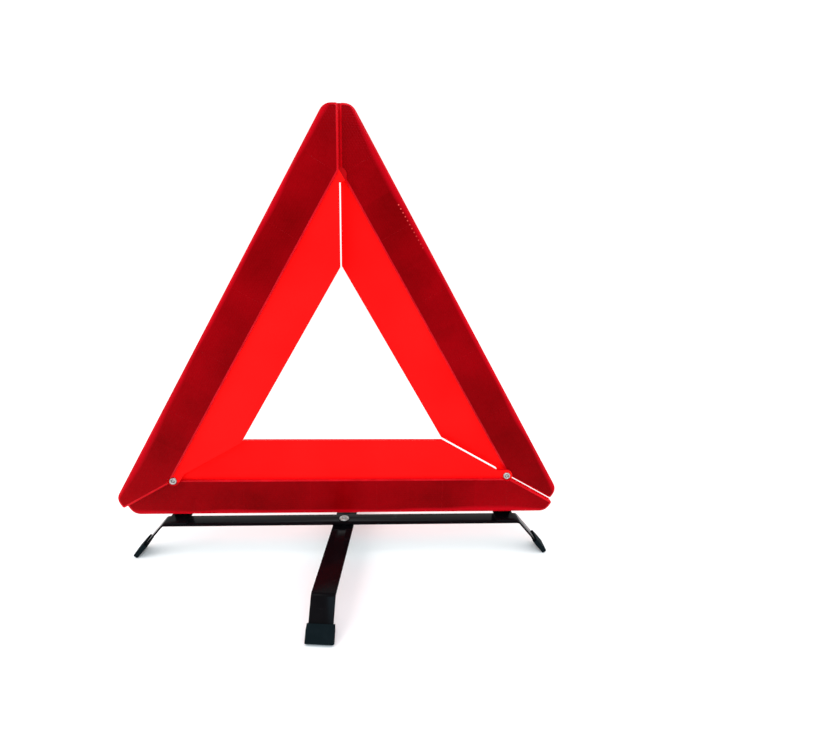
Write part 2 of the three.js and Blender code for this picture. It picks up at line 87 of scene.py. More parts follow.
joints = {j["name"]: j for j in frame["joints"]}
PIVOT_U = joints["right_arm_fold"]["pos_m"][0]
PIVOT_Z = joints["right_arm_fold"]["pos_m"][2]
CENTROID_Z = PIVOT_Z + PIVOT_U / ROOT3
BASE_Z = CENTROID_Z - SIDE / (2 * ROOT3)
REFLECTOR_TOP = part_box("bottom_arm_reflector")[1][2] + FLANGE_INSET
REFLECTOR_BAND = REFLECTOR_TOP - BASE_Z
INRADIUS = CENTROID_Z - BASE_Z
BAR_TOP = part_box("cross_bar")[1][2]
LEG_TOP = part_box("swivel_leg")[1][2]
BAR_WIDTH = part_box("cross_bar")[1][1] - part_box("cross_bar")[0][1]
BOOT_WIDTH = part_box("left_foot")[1][1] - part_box("left_foot")[0][1]


# ---- Small tools -----------------------------------------------------------------------------------

SMOOTH_ANGLE = 35  # degrees: an edge sharper than this stays sharp
WELD_DISTANCE = 0.001 * MM


def add_object(name, data):
    obj = bpy.data.objects.new(name, data)
    scene.collection.objects.link(obj)
    return obj


def mesh_object(name, bm, smooth_angle=SMOOTH_ANGLE):
    """A finished bmesh as an object, smooth but for edges sharper than an angle."""
    bmesh.ops.recalc_face_normals(bm, faces=bm.faces)
    mesh = bpy.data.meshes.new(name)
    bm.to_mesh(mesh)
    bm.free()
    mesh.shade_smooth()
    mesh.set_sharp_from_angle(angle=math.radians(smooth_angle))
    return add_object(name, mesh)


def add_bevel(obj, width, segments=2, angle=30):
    bevel = obj.modifiers.new("bevel", "BEVEL")
    bevel.width = width
    bevel.segments = segments
    bevel.limit_method = "ANGLE"
    bevel.angle_limit = math.radians(angle)


def everything(bm):
    return list(bm.verts) + list(bm.edges) + list(bm.faces)


def new_verts(made):
    """The vertices among what a bmesh operator made."""
    return [v for v in made["geom"] if isinstance(v, bmesh.types.BMVert)]


def open_edges(bm):
    return [e for e in bm.edges if e.is_boundary]


def smoothing_nodes():
    """A node group that shades a mesh smooth, apart from its sharper edges."""
    group = bpy.data.node_groups.new("smooth_by_angle", "GeometryNodeTree")
    group.interface.new_socket("Geometry", in_out="INPUT", socket_type="NodeSocketGeometry")
    group.interface.new_socket("Geometry", in_out="OUTPUT", socket_type="NodeSocketGeometry")
    nodes, links = group.nodes, group.links
    start = nodes.new("NodeGroupInput")
    end = nodes.new("NodeGroupOutput")
    edge_angle = nodes.new("GeometryNodeInputMeshEdgeAngle")
    sharp = nodes.new("FunctionNodeCompare")
    sharp.data_type = "FLOAT"
    sharp.operation = "GREATER_THAN"
    sharp.inputs["B"].default_value = math.radians(SMOOTH_ANGLE)
    faces = nodes.new("GeometryNodeSetShadeSmooth")
    faces.domain = "FACE"
    edges = nodes.new("GeometryNodeSetShadeSmooth")
    edges.domain = "EDGE"
    edges.inputs["Shade Smooth"].default_value = False
    links.new(edge_angle.outputs["Unsigned Angle"], sharp.inputs["A"])
    links.new(start.outputs["Geometry"], faces.inputs["Geometry"])
    links.new(faces.outputs["Geometry"], edges.inputs["Geometry"])
    links.new(sharp.outputs["Result"], edges.inputs["Selection"])
    links.new(edges.outputs["Geometry"], end.inputs["Geometry"])
    return group


SMOOTHING = smoothing_nodes()


def soften(node, width, segments=2):
    """Smooths a CAD node's curved faces and bevels its edges, by modifiers alone. On most nodes the bevel's
    overlap clamp leaves only a few hundredths of a millimetre of the width, or less."""
    obj = frame["nodes"][node]
    weld = obj.modifiers.new("weld", "WELD")
    weld.merge_threshold = WELD_DISTANCE
    add_bevel(obj, width, segments)
    smooth = obj.modifiers.new("smooth", "NODES")
    smooth.node_group = SMOOTHING
    return obj


# ---- Materials -------------------------------------------------------------------------------------


class Material:
    """A node material with one Principled shader, and short ways to add nodes to it."""

    def __init__(self, name, **constants):
        self.data = bpy.data.materials.new(name)
        self.data.use_nodes = True
        self.tree = self.data.node_tree
        self.shader = self.tree.nodes["Principled BSDF"]
        for socket, value in constants.items():
            self.shader.inputs[socket.replace("_", " ")].default_value = value

    def node(self, kind, inputs=(), **settings):
        made = self.tree.nodes.new(kind)
        for key, value in settings.items():
            setattr(made, key, value)
        for socket, value in dict(inputs).items():
            self.feed(made.inputs[socket], value)
        return made

    def feed(self, socket, value):
        if isinstance(value, bpy.types.NodeSocket):
            self.tree.links.new(value, socket)
        else:
            socket.default_value = value

    def set(self, socket, value):
        self.feed(self.shader.inputs[socket], value)

    def place(self):
        return self.node("ShaderNodeTexCoord").outputs["Object"]

    def math(self, operation, *values, clamp=False):
        made = self.node("ShaderNodeMath", enumerate(values), operation=operation, use_clamp=clamp)
        return made.outputs[0]

    def vector(self, operation, *values):
        made = self.node("ShaderNodeVectorMath", enumerate(values), operation=operation)
        return made.outputs["Value" if operation in ("DOT_PRODUCT", "LENGTH") else "Vector"]

    def noise(self, place, scale, detail=3, roughness=0.5):
        made = self.node(
            "ShaderNodeTexNoise",
            {"Vector": place, "Scale": scale, "Detail": detail, "Roughness": roughness},
        )
        return made.outputs["Fac"]

    def ramp(self, value, low, high, to_low=0.0, to_high=1.0):
        made = self.node(
            "ShaderNodeMapRange",
            {"Value": value, "From Min": low, "From Max": high, "To Min": to_low, "To Max": to_high},
        )
        return made.outputs["Result"]

    def mix(self, factor, a, b):
        made = self.node("ShaderNodeMix", data_type="RGBA")
        self.feed(made.inputs[0], factor)
        self.feed(made.inputs[6], a)
        self.feed(made.inputs[7], b)
        return made.outputs[2]

    def bump(self, height, strength, distance):
        made = self.node(
            "ShaderNodeBump", {"Height": height, "Strength": strength, "Distance": distance}
        )
        return made.outputs["Normal"]


def rgb(r, g, b):
    return (r, g, b, 1.0)


def facing_front(m):
    """One where a surface faces the viewer's side, zero on its walls and back."""
    normal = m.node("ShaderNodeTexCoord").outputs["Normal"]
    return m.ramp(m.vector("DOT_PRODUCT", normal, (0, -1, 0)), 0.3, 0.7)


def wall_share(m):
    """One on walls that run from front to back, zero on faces to the front and to the back."""
    normal = m.node("ShaderNodeTexCoord").outputs["Normal"]
    across = m.math("ABSOLUTE", m.vector("DOT_PRODUCT", normal, (0, 1, 0)))
    return m.ramp(across, 0.25, 0.75, 1.0, 0.0)


ARM_NORMALS = {
    "bottom": (0, 0, -1),
    "left": (-ROOT3 / 2, 0, 0.5),
    "right": (ROOT3 / 2, 0, 0.5),
}


def lap_line(outward):
    """Where the inner edge of an arm's reflector lies, from the origin along the arm's outward normal."""
    return INRADIUS - REFLECTOR_BAND + outward[2] * CENTROID_Z


def fluorescent_red(name, overlapped=()):
    """Fluorescent plastic. Where an ear or a tab of this panel reaches into the reflector band of an
    overlapped side, its front face is painted a reflector's deep red, as painted shade."""
    m = Material(
        name,
        IOR=1.49,
        Specular_IOR_Level=0.12,
        Specular_Tint=rgb(1.0, 0.25, 0.22),
        # Painted glow: the faint emission stands in for the plastic's fluorescence and is the same in any
        # light.
        Emission_Color=rgb(1.0, 0.004, 0.003),
        Emission_Strength=0.03,
    )
    place = m.place()
    flow = m.ramp(m.noise(place, 9, 2), 0.35, 0.65)
    colour = m.mix(flow, rgb(0.93, 0.003, 0.0035), rgb(0.99, 0.006, 0.006))
    # Painted shade: walls that run from front to back, in the gaps between the arms and at the tray's
    # steps, are painted a darker red.
    colour = m.mix(wall_share(m), colour, rgb(0.62, 0.0015, 0.005))
    front = facing_front(m)
    for side in overlapped:
        outward = ARM_NORMALS[side]
        beyond = m.math("SUBTRACT", m.vector("DOT_PRODUCT", place, outward), lap_line(outward))
        # Painted shade: the panel's front face over another arm's reflector band is painted darker.
        lap_shade = m.math("MULTIPLY", m.ramp(beyond, 0, 0.3 * MM), front)
        colour = m.mix(lap_shade, colour, rgb(0.37, 0.0006, 0.003))
    m.set("Base Color", colour)
    m.set("Roughness", m.ramp(m.noise(place, 260, 4), 0.3, 0.7, 0.32, 0.46))
    waves = m.noise(place, 40, 2)
    grain = m.math("MULTIPLY", m.noise(place, 2600, 2), 0.06)
    m.set("Normal", m.bump(m.math("ADD", waves, grain), 0.25, 0.3 * MM))
    return m.data


def hexagon_place(m, place, pitch):
    """Where a point lies inside its cell of a hexagonal lattice, in pitches from the cell's middle."""
    flat = m.vector("MULTIPLY", place, (1 / pitch, 0, 1 / pitch))
    cell = (1.0, 1.0, ROOT3)
    half = (0.5, 0.5, ROOT3 / 2)
    lattices = []
    for offset in ((0, 0, 0), half):
        moved = m.vector("SUBTRACT", flat, offset)
        wrapped = m.node(
            "ShaderNodeVectorMath", {0: moved, 1: cell, 2: (0, 0, 0)}, operation="WRAP"
        ).outputs["Vector"]
        inside = m.vector("MULTIPLY", m.vector("SUBTRACT", wrapped, half), (1, 0, 1))
        lattices.append((inside, m.vector("DOT_PRODUCT", inside, inside)))
    (first, first_sq), (second, second_sq) = lattices
    nearer = m.math("LESS_THAN", first_sq, second_sq)
    pick = m.node("ShaderNodeMix", data_type="VECTOR")
    m.feed(pick.inputs[0], nearer)
    m.feed(pick.inputs[4], second)
    m.feed(pick.inputs[5], first)
    return pick.outputs[1], flat


BLOCKS = 7  # of prisms, along a whole side
BLOCK = SIDE / BLOCKS
PRISM_PITCH = 2.4 * MM
GLINTS = 12
GLINT_PITCH = 3.85 * MM
GLINT_FROM = 72 * MM  # along the arm from its middle to the near end of the row
GLINT_HEIGHT = 4.5 * MM  # above the outer edge, at the near end
GLINT_SLOPE = 0.025  # of the row, away from the outer edge
GLINT_R = 0.75 * MM


def glints(m, along, height):
    """A row of painted glints: cells beside the outer edge painted bright, strongest at its far end."""
    run = m.math("SUBTRACT", along, GLINT_FROM)
    step = m.math("DIVIDE", run, GLINT_PITCH)
    aside = m.math("MULTIPLY", m.math("SUBTRACT", m.math("FRACT", step), 0.5), GLINT_PITCH)
    row = m.math("ADD", m.math("MULTIPLY", run, GLINT_SLOPE), GLINT_HEIGHT)
    offset = m.node("ShaderNodeCombineXYZ", {"X": aside, "Y": m.math("SUBTRACT", height, row)})
    spot = m.ramp(m.vector("LENGTH", offset.outputs["Vector"]), GLINT_R, GLINT_R / 2)
    started = m.math("GREATER_THAN", step, 0)
    ended = m.math("LESS_THAN", step, GLINTS)
    strength = m.ramp(step, 0, GLINTS, 0.15, 0.8)
    within = m.math("MULTIPLY", started, ended)
    return m.math("MULTIPLY", m.math("MULTIPLY", spot, strength), within)


def prismatic_red(name, glinting=False):
    """Cube corners behind a clear polished face: hexagons of three facets, turned over in every second
    block of the mould. The prisms pale towards the outer edge, where light gets in from the side."""
    m = Material(
        name,
        IOR=1.49,
        Specular_IOR_Level=0.14,
        Specular_Tint=rgb(1.0, 0.08, 0.1),
    )
    place = m.place()
    parts = m.node("ShaderNodeSeparateXYZ", {0: place})
    block = m.math("FLOOR", m.math("DIVIDE", parts.outputs["X"], BLOCK))
    odd = m.math("PINGPONG", block, 1.0)
    flip = m.math("SUBTRACT", 1.0, m.math("MULTIPLY", odd, 2.0))
    inside, flat = hexagon_place(m, place, PRISM_PITCH)
    turned = m.node("ShaderNodeVectorMath", {0: inside}, operation="SCALE")
    m.feed(turned.inputs["Scale"], flip)
    facets = []
    for third in range(3):
        angle = math.radians(90 + 120 * third)
        way = (math.cos(angle), 0, math.sin(angle))
        facets.append(m.vector("DOT_PRODUCT", turned.outputs["Vector"], way))
    height = m.math("MAXIMUM", m.math("MAXIMUM", facets[0], facets[1]), facets[2])
    centre = m.vector("SUBTRACT", flat, inside)
    speck_node = m.node("ShaderNodeTexWhiteNoise", {"Vector": centre}, noise_dimensions="3D")
    tone_node = m.node("ShaderNodeTexWhiteNoise", {"W": block}, noise_dimensions="1D")
    speck = speck_node.outputs["Value"]
    # Painted light: the facet of each cell that faces up is painted lighter, as if lit from above.
    painted_lit_facet = m.math("GREATER_THAN", facets[0], m.math("MAXIMUM", facets[1], facets[2]))
    world_place = m.node("ShaderNodeNewGeometry").outputs["Position"]
    clouds = m.ramp(m.noise(world_place, 13, 3), 0.36, 0.62, 0.0, 0.6)
    shade = m.math("MULTIPLY", speck, 0.1)
    shade = m.math("ADD", shade, m.math("MULTIPLY", tone_node.outputs["Value"], 0.2))
    shade = m.math("ADD", shade, m.math("MULTIPLY", painted_lit_facet, 0.1))
    shade = m.math("ADD", shade, clouds, clamp=True)
    colour = m.mix(shade, rgb(0.15, 0.0001, 0.0008), rgb(0.295, 0.0003, 0.0025))
    reach = m.ramp(m.noise(place, 11, 1), 0.35, 0.65, 3 * MM, 7 * MM)
    paling = m.math("DIVIDE", parts.outputs["Z"], reach)
    paling = m.ramp(paling, 0.45, 1.0, 0.65, 0.0)
    colour = m.mix(paling, colour, rgb(0.6, 0.0016, 0.009))
    if glinting:
        # Painted highlight: the right arm's row of glints.
        bright = glints(m, parts.outputs["X"], parts.outputs["Z"])
        colour = m.mix(bright, colour, rgb(1.0, 0.1, 0.085))
    m.set("Base Color", colour)
    m.set("Roughness", m.ramp(speck, 0.0, 1.0, 0.12, 0.24))
    m.set("Normal", m.bump(height, 0.22, 0.5 * MM))
    return m.data


def clear_red():
    """The clear plastic of a reflector, which shows as a flange round its blocks of prisms."""
    m = Material(
        "clear_red",
        IOR=1.49,
        Specular_IOR_Level=0.3,
        Specular_Tint=rgb(1.0, 0.2, 0.2),
    )
    place = m.place()
    depth = m.ramp(m.noise(place, 60, 3), 0.35, 0.65)
    m.set("Base Color", m.mix(depth, rgb(0.46, 0.0012, 0.005), rgb(0.62, 0.003, 0.01)))
    m.set("Roughness", m.ramp(m.noise(place, 300, 2), 0.3, 0.7, 0.12, 0.2))
    m.set("Normal", m.bump(m.noise(place, 120, 2), 0.1, 0.2 * MM))
    return m.data


def black_paint():
    """Stove enamel on steel strip: orange peel, faint rubs, a little dust."""
    m = Material("black_paint", IOR=1.5, Specular_IOR_Level=0.035)
    place = m.place()
    peel = m.noise(place, 900, 2)
    rub_place = m.vector("MULTIPLY", place, (1.0, 1.0, 8.0))
    rub = m.ramp(m.noise(rub_place, 90, 5, 0.7), 0.62, 0.8)
    dust = m.ramp(m.noise(place, 35, 4), 0.5, 0.8)
    dulled = m.math("MULTIPLY", dust, 0.5)
    colour = m.mix(dulled, rgb(0.0022, 0.0018, 0.0025), rgb(0.006, 0.0052, 0.0065))
    m.set("Base Color", m.mix(m.math("MULTIPLY", rub, 0.4), colour, rgb(0.03, 0.029, 0.03)))
    m.set("Roughness", m.math("ADD", m.ramp(dust, 0, 1, 0.16, 0.3), m.math("MULTIPLY", rub, 0.15)))
    m.set("Normal", m.bump(peel, 0.12, 0.12 * MM))
    return m.data


def black_rubber():
    """Moulded rubber: fine grain with dust in it. Its blue-grey cast is a painted reflection of cool light.
    """
    m = Material("black_rubber", IOR=1.5, Specular_IOR_Level=0.01)
    place = m.place()
    grain = m.noise(place, 1800, 4, 0.65)
    dust = m.ramp(m.noise(place, 120, 4), 0.45, 0.75)
    dulled = m.math("MULTIPLY", dust, 0.6)
    # Both colours carry a blue-grey cast: a painted reflection of the cool light from the front.
    m.set("Base Color", m.mix(dulled, rgb(0.0045, 0.008, 0.0098), rgb(0.0075, 0.012, 0.0145)))
    m.set("Roughness", m.ramp(grain, 0.3, 0.7, 0.5, 0.72))
    m.set("Normal", m.bump(grain, 0.35, 0.12 * MM))
    return m.data


def rivet_steel(name, light, dark, roughness):
    """Plated steel with slight tarnish and a fine uneven surface."""
    m = Material(name, Metallic=1.0)
    place = m.place()
    tarnish = m.ramp(m.noise(place, 700, 4), 0.4, 0.7)
    m.set("Base Color", m.mix(tarnish, light, dark))
    m.set("Roughness", m.ramp(m.noise(place, 1500, 3), 0.3, 0.7, roughness, roughness + 0.16))
    m.set("Normal", m.bump(m.noise(place, 3000, 2), 0.2, 0.05 * MM))
    return m.data


def black_plastic():
    """Moulded black plastic with an etched grain."""
    m = Material("black_plastic", IOR=1.5, Specular_IOR_Level=0.4)
    place = m.place()
    m.set("Base Color", m.mix(m.noise(place, 200, 3), rgb(0.02, 0.02, 0.021), rgb(0.035, 0.035, 0.036)))
    m.set("Roughness", m.ramp(m.noise(place, 900, 3), 0.3, 0.7, 0.45, 0.6))
    m.set("Normal", m.bump(m.noise(place, 2200, 2), 0.2, 0.08 * MM))
    return m.data


FLUORESCENT = {
    "bottom": fluorescent_red("fluorescent_red"),
    "left": fluorescent_red("fluorescent_red_left", ("bottom", "right")),
    "right": fluorescent_red("fluorescent_red_right", ("left",)),
}
PRISMATIC = {
    "bottom": prismatic_red("prismatic_red"),
    "left": prismatic_red("prismatic_red_left"),
    "right": prismatic_red("prismatic_red_right", glinting=True),
}
CLEAR_RED = clear_red()
PAINT = black_paint()
RUBBER = black_rubber()
RIVET = rivet_steel("rivet_steel", rgb(0.5, 0.47, 0.45), rgb(0.24, 0.22, 0.21), 0.22)
SPRING = rivet_steel("spring_steel", rgb(0.36, 0.36, 0.38), rgb(0.2, 0.19, 0.2), 0.3)
PLASTIC = black_plastic()


def dress(obj, material):
    obj.data.materials.clear()
    obj.data.materials.append(material)


# ---- CAD nodes that stay ---------------------------------------------------------------------------

PANEL_BEVEL = 0.25 * MM
REFLECTOR_BEVEL = 0.12 * MM
STEEL_BEVEL = 0.25 * MM
WASHER_BEVEL = 0.12 * MM
SPACER_BEVEL = 0.2 * MM

for side in ("bottom", "left", "right"):
    dress(soften(f"{side}_arm_panel", PANEL_BEVEL), FLUORESCENT[side])
    dress(soften(f"{side}_arm_reflector", REFLECTOR_BEVEL), CLEAR_RED)
for name in ("cross_bar", "swivel_leg", "left_bracket", "right_bracket"):
    dress(soften(name, STEEL_BEVEL, segments=3), PAINT)
for name in ("spring_washer", "left_pivot_washer", "right_pivot_washer"):
    dress(soften(name, WASHER_BEVEL), SPRING)
dress(soften("left_rivet_spacer", SPACER_BEVEL), PLASTIC)


# ---- Blocks of prisms ------------------------------------------------------------------------------

MITRE_TIP_R = 1 * MM
MITRE_INNER_R = 1.4 * MM
COVER_INSET = 0.1 * MM  # from the edge of the moulded field to the prisms
FIELD_TOP = 0.12 * MM  # that the prisms stand proud of the moulded field
BLOCK_SEAM = 0.1 * MM
BLOCK_DEPTH = 0.3 * MM
BLOCK_BEVEL = 0.06 * MM
BAY_SIDES = 24
BAY_REACH = 4  # radii round a bay's middle, within which faces are cut for it
CUT_TOLERANCE = 1e-7


def arc_points(corner, start, end, steps=8):
    """A rounded corner as a quadratic curve from start to end."""
    points = []
    for i in range(steps + 1):
        t = i / steps
        points.append(start * (1 - t) ** 2 + corner * 2 * t * (1 - t) + end * t**2)
    return points


def rounded(points, radii):
    """A closed outline with each corner rounded by its own radius."""
    outline = []
    count = len(points)
    for i, corner in enumerate(points):
        back = (points[i - 1] - corner).normalized()
        ahead = (points[(i + 1) % count] - corner).normalized()
        reach = radii[i] / math.tan(back.angle(ahead) / 2)
        outline += arc_points(corner, corner + back * reach, corner + ahead * reach)
    return outline


def field_outline(cuts, inset):
    """The field of prisms, as X and height above the band's outer edge, shrunk all round by an inset."""
    mitre = MITRE_GAP / 2 + inset
    inner = REFLECTOR_BAND - inset
    half_side = SIDE / 2

    def end(sign, cut):
        cut = cut + inset
        tip = (cut - ROOT3 * mitre) / 2
        outer_u = half_side - (cut - inset / 2) / (ROOT3 / 2)
        return [
            Vector((sign * outer_u, inset)),
            Vector((sign * (half_side - tip * ROOT3 - 2 * mitre), tip)),
            Vector((sign * (half_side - inner * ROOT3 - 2 * mitre), inner)),
        ]

    radii = [TIP_R - TIP_LOSS * inset, MITRE_TIP_R, MITRE_INNER_R]
    points = end(1, cuts[1]) + end(-1, cuts[0])[::-1]
    return rounded(points, radii + radii[::-1])


def cut_bay(bm, centre, radius):
    """Takes a round bite out of a flat face, as the rivet bays do: it is cut along each side of a ring,
    and the faces inside the ring are deleted."""
    middle = Vector((centre[0], 0, centre[1]))
    ring = [
        Vector((centre[0] + radius * math.cos(a), 0, centre[1] + radius * math.sin(a)))
        for a in (2 * math.pi * i / BAY_SIDES for i in range(BAY_SIDES))
    ]
    for i, point in enumerate(ring):
        across = ring[(i + 1) % BAY_SIDES] - point
        near = [f for f in bm.faces if any((v.co - middle).length < BAY_REACH * radius for v in f.verts)]
        close = set(near)
        geom = [v for v in bm.verts if close.intersection(v.link_faces)]
        geom += [e for e in bm.edges if close.intersection(e.link_faces)]
        geom += near
        normal = Vector((-across.z, 0, across.x))
        bmesh.ops.bisect_plane(bm, geom=geom, plane_co=point, plane_no=normal, dist=CUT_TOLERANCE)
    inside = [f for f in bm.faces if (f.calc_center_median() - middle).length < 0.98 * radius]
    bmesh.ops.delete(bm, geom=inside, context="FACES")


def prism_block(name, cuts, bays, index):
    """One block of the field, drawn in the bottom arm's place with its face at y = 0."""
    bm = bmesh.new()
    outline = field_outline(cuts, FIELD_INSET + COVER_INSET)
    bm.faces.new([bm.verts.new((p.x, 0, p.y)) for p in outline])
    low = -SIDE / 2 + index * BLOCK + BLOCK_SEAM / 2
    high = low + BLOCK - BLOCK_SEAM
    for x, direction in ((low, -1), (high, 1)):
        bmesh.ops.bisect_plane(
            bm, geom=everything(bm), plane_co=(x, 0, 0), plane_no=(direction, 0, 0), clear_outer=True
        )
    for sign, radius in zip((-1, 1), bays):
        u = sign * PIVOT_U
        if radius and low - radius < u < high + radius:
            cut_bay(bm, (u, PIVOT_Z - BASE_Z), radius)
    bmesh.ops.dissolve_limit(bm, angle_limit=0.01, verts=bm.verts, edges=bm.edges)
    made = bmesh.ops.extrude_face_region(bm, geom=list(bm.faces))
    bmesh.ops.translate(bm, verts=new_verts(made), vec=(0, BLOCK_DEPTH, 0))
    obj = mesh_object(name, bm)
    add_bevel(obj, BLOCK_BEVEL, angle=50)
    return obj


def arm_place(side, turn):
    """Carries a piece from the bottom arm's place, face at y = 0, to an arm's own place."""
    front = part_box(f"{side}_arm_reflector")[0][1]
    about = Vector((0, 0, CENTROID_Z))
    drawn = Matrix.Translation((0, 0, BASE_Z))
    spin = Matrix.Translation(about) @ Matrix.Rotation(turn, 4, "Y") @ Matrix.Translation(-about)
    return Matrix.Translation((0, front, 0)) @ spin @ drawn


# Of each arm: the degrees it is turned by, and the cuts and the bays' radii at its -X and +X ends in the
# bottom arm's place, with 0 where there is no bay, and its body.
ARMS = {
    "bottom": (0, (CORNER_CUT, CORNER_CUT), (BOSS_BAY_R, HEAD_BAY_R), "base"),
    "left": (120, (CORNER_CUT, CORNER_CUT), (0, HEAD_BAY_R), "left_arm"),
    "right": (-120, (CORNER_CUT, TOP_CUT_BEHIND), (BOSS_BAY_R, SPACER_BAY_R), "right_arm"),
}

for side, (turn, cuts, bays, body) in ARMS.items():
    for index in range(BLOCKS):
        block = prism_block(f"{side}_prisms_{index + 1}", cuts, bays, index)
        place = arm_place(side, math.radians(turn))
        block.matrix_world = place @ Matrix.Translation((0, -FIELD_TOP, 0))
        dress(block, PRISMATIC[side])
        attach(block, body)


# ---- Rivets ----------------------------------------------------------------------------------------

CROWN = 0.9  # the rolled part's share of a head's height
TAIL_SQUASH = 0.8  # of a tail's roll, against a round one
TAIL_BORE = 0.6 * MM
AXIS_WELD = 0.002 * MM  # joins the turned points that meet on the axis


def lathe(name, profile, steps=48):
    """A closed turned piece about Z, from (radius, height) points that start and end on the axis."""
    bm = bmesh.new()
    verts = [bm.verts.new((r, 0, z)) for r, z in profile]
    edges = [bm.edges.new(pair) for pair in zip(verts, verts[1:])]
    bmesh.ops.spin(
        bm, geom=verts + edges, cent=(0, 0, 0), axis=(0, 0, 1),
        angle=2 * math.pi, steps=steps, use_merge=True,
    )
    bmesh.ops.remove_doubles(bm, verts=bm.verts, dist=AXIS_WELD)
    return mesh_object(name, bm, smooth_angle=50)


def roll(centre, radius, start, end, steps):
    """Points of an arc about a centre at z = 0 in a profile, between two angles in degrees from outward."""
    points = []
    for i in range(steps + 1):
        a = math.radians(start + (end - start) * i / steps)
        points.append((centre + radius * math.cos(a), radius * math.sin(a)))
    return points


def tubular_rivet(name, head_r, head, shank_r, length, tail_r, bore_r):
    """A rolled head with its top at z = 0 over a shank that ends in a rolled tail, with a short bore
    in each."""
    lip = (head_r - bore_r) / 2
    squash = CROWN * head / lip
    crown = [(r, z * squash - CROWN * head) for r, z in roll(bore_r + lip, lip, 0, 180, 14)]
    tail_lip = (tail_r - bore_r) / 2
    tail = [(r, -length - z * TAIL_SQUASH) for r, z in roll(bore_r + tail_lip, tail_lip, 180, 0, 10)]
    bore = [(0, -1.5 * head), (0.7 * bore_r, -1.45 * head), (0.95 * bore_r, -1.2 * head)]
    shank = [(head_r, -0.98 * head), (0.97 * head_r, -head), (shank_r, -head), (shank_r, -length)]
    tail_bore = [(0.9 * bore_r, -length + TAIL_BORE / 2), (0, -length + TAIL_BORE)]
    return lathe(name, bore + crown[::-1] + shank + tail[::-1] + tail_bore)


def replace_rivet(node, name, upright, head_r, head, shank_r, tail_r, tail, bore_r):
    """A tubular rivet in place of a CAD one, with its head on top where it is upright, else in front."""
    low, high = (Vector(p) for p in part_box(node))
    middle = (low + high) / 2
    if upright:
        length = high.z - low.z - tail
        top = Vector((middle.x, middle.y, high.z))
        turn = 0
    else:
        length = high.y - low.y - tail
        top = Vector((middle.x, low.y, middle.z))
        turn = math.pi / 2
    rivet = tubular_rivet(name, head_r, head, shank_r, length, tail_r, bore_r)
    rivet.matrix_world = Matrix.Translation(top) @ Matrix.Rotation(turn, 4, "X")
    dress(rivet, RIVET)
    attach(rivet, "base")
    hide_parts(node)


for side in ("left", "right"):
    replace_rivet(
        f"{side}_corner_rivet", f"{side}_arm_rivet", upright=False,
        head_r=3.7 * MM, head=1.3 * MM, shank_r=2 * MM, tail_r=3.6 * MM, tail=1.2 * MM, bore_r=1.5 * MM,
    )
replace_rivet(
    "centre_rivet", "stand_rivet", upright=True,
    head_r=4.8 * MM, head=1.4 * MM, shank_r=2.5 * MM, tail_r=4.2 * MM, tail=1.3 * MM, bore_r=2.3 * MM,
)


# ---- Rubber boots ----------------------------------------------------------------------------------

BOOT_DEPTH = 4.9 * MM  # the part's plain foot is 5.9 mm deep at its sole
BOOT_NECK_DEPTH = 4.6 * MM  # and 4.4 mm at its top
FLANK = 1.4 * MM  # the boot's two long sides slope away over this width
FLANK_DROP = 0.5 * MM
NECK_TAPER = 1 * MM  # that the neck's rim is narrower than the boot
SOCKET_GAP = 0.3 * MM
MOUTH_DROP = 0.2 * MM  # from the rim to the mouth of the socket
BOOT_ROUND = 0.7 * MM
ROUND_ANGLE = 12  # degrees: an edge sharper than this is rounded


def boot_ring(bm, width, depth, height):
    """One ring of a boot: flat front and back faces between sloping flanks."""
    w, t = width / 2, depth / 2
    side = t - FLANK_DROP
    ring = [
        (-w, -side), (-w + FLANK, -t), (w - FLANK, -t), (w, -side),
        (w, side), (w - FLANK, t), (-w + FLANK, t), (-w, side),
    ]
    return [bm.verts.new((x, y, height)) for x, y in ring]


def bridge(bm, upper, lower):
    for i in range(len(upper)):
        j = (i + 1) % len(upper)
        bm.faces.new((upper[i], upper[j], lower[j], lower[i]))


def sink_socket(bm, top, strip_width):
    """Lines a boot that is open at the top, with a socket down to just past z = 0."""
    half_w = strip_width / 2 + SOCKET_GAP
    half_t = STRIP / 2 + SOCKET_GAP
    mouth = bmesh.ops.extrude_edge_only(bm, edges=open_edges(bm))
    for v in new_verts(mouth):
        v.co.x = max(-half_w, min(half_w, v.co.x))
        v.co.y = math.copysign(half_t, v.co.y)
        v.co.z = top - MOUTH_DROP
    walls = bmesh.ops.extrude_edge_only(bm, edges=open_edges(bm))
    for v in new_verts(walls):
        v.co.z = -SOCKET_GAP
    bmesh.ops.contextual_create(bm, geom=open_edges(bm))


def hanging_boot(width, length, strip_width):
    """A boot that hangs down -Z, with the end of its strip at z = 0 and its socket open at the top."""
    bm = bmesh.new()
    top = length - BOOT_TIP
    neck = top - length / 3
    rings = [
        boot_ring(bm, width - NECK_TAPER, BOOT_NECK_DEPTH, top),
        boot_ring(bm, width, BOOT_DEPTH, neck),
        boot_ring(bm, width, BOOT_DEPTH, -BOOT_TIP),
    ]
    for upper, lower in zip(rings, rings[1:]):
        bridge(bm, upper, lower)
    bm.faces.new(rings[-1])
    bmesh.ops.recalc_face_normals(bm, faces=bm.faces)
    limit = math.radians(ROUND_ANGLE)
    outer = [e for e in bm.edges if not e.is_boundary and e.calc_face_angle() > limit]
    bmesh.ops.bevel(
        bm, geom=outer, offset=BOOT_ROUND, segments=3, profile=0.5, affect="EDGES", clamp_overlap=True
    )
    sink_socket(bm, top, strip_width)
    return bm


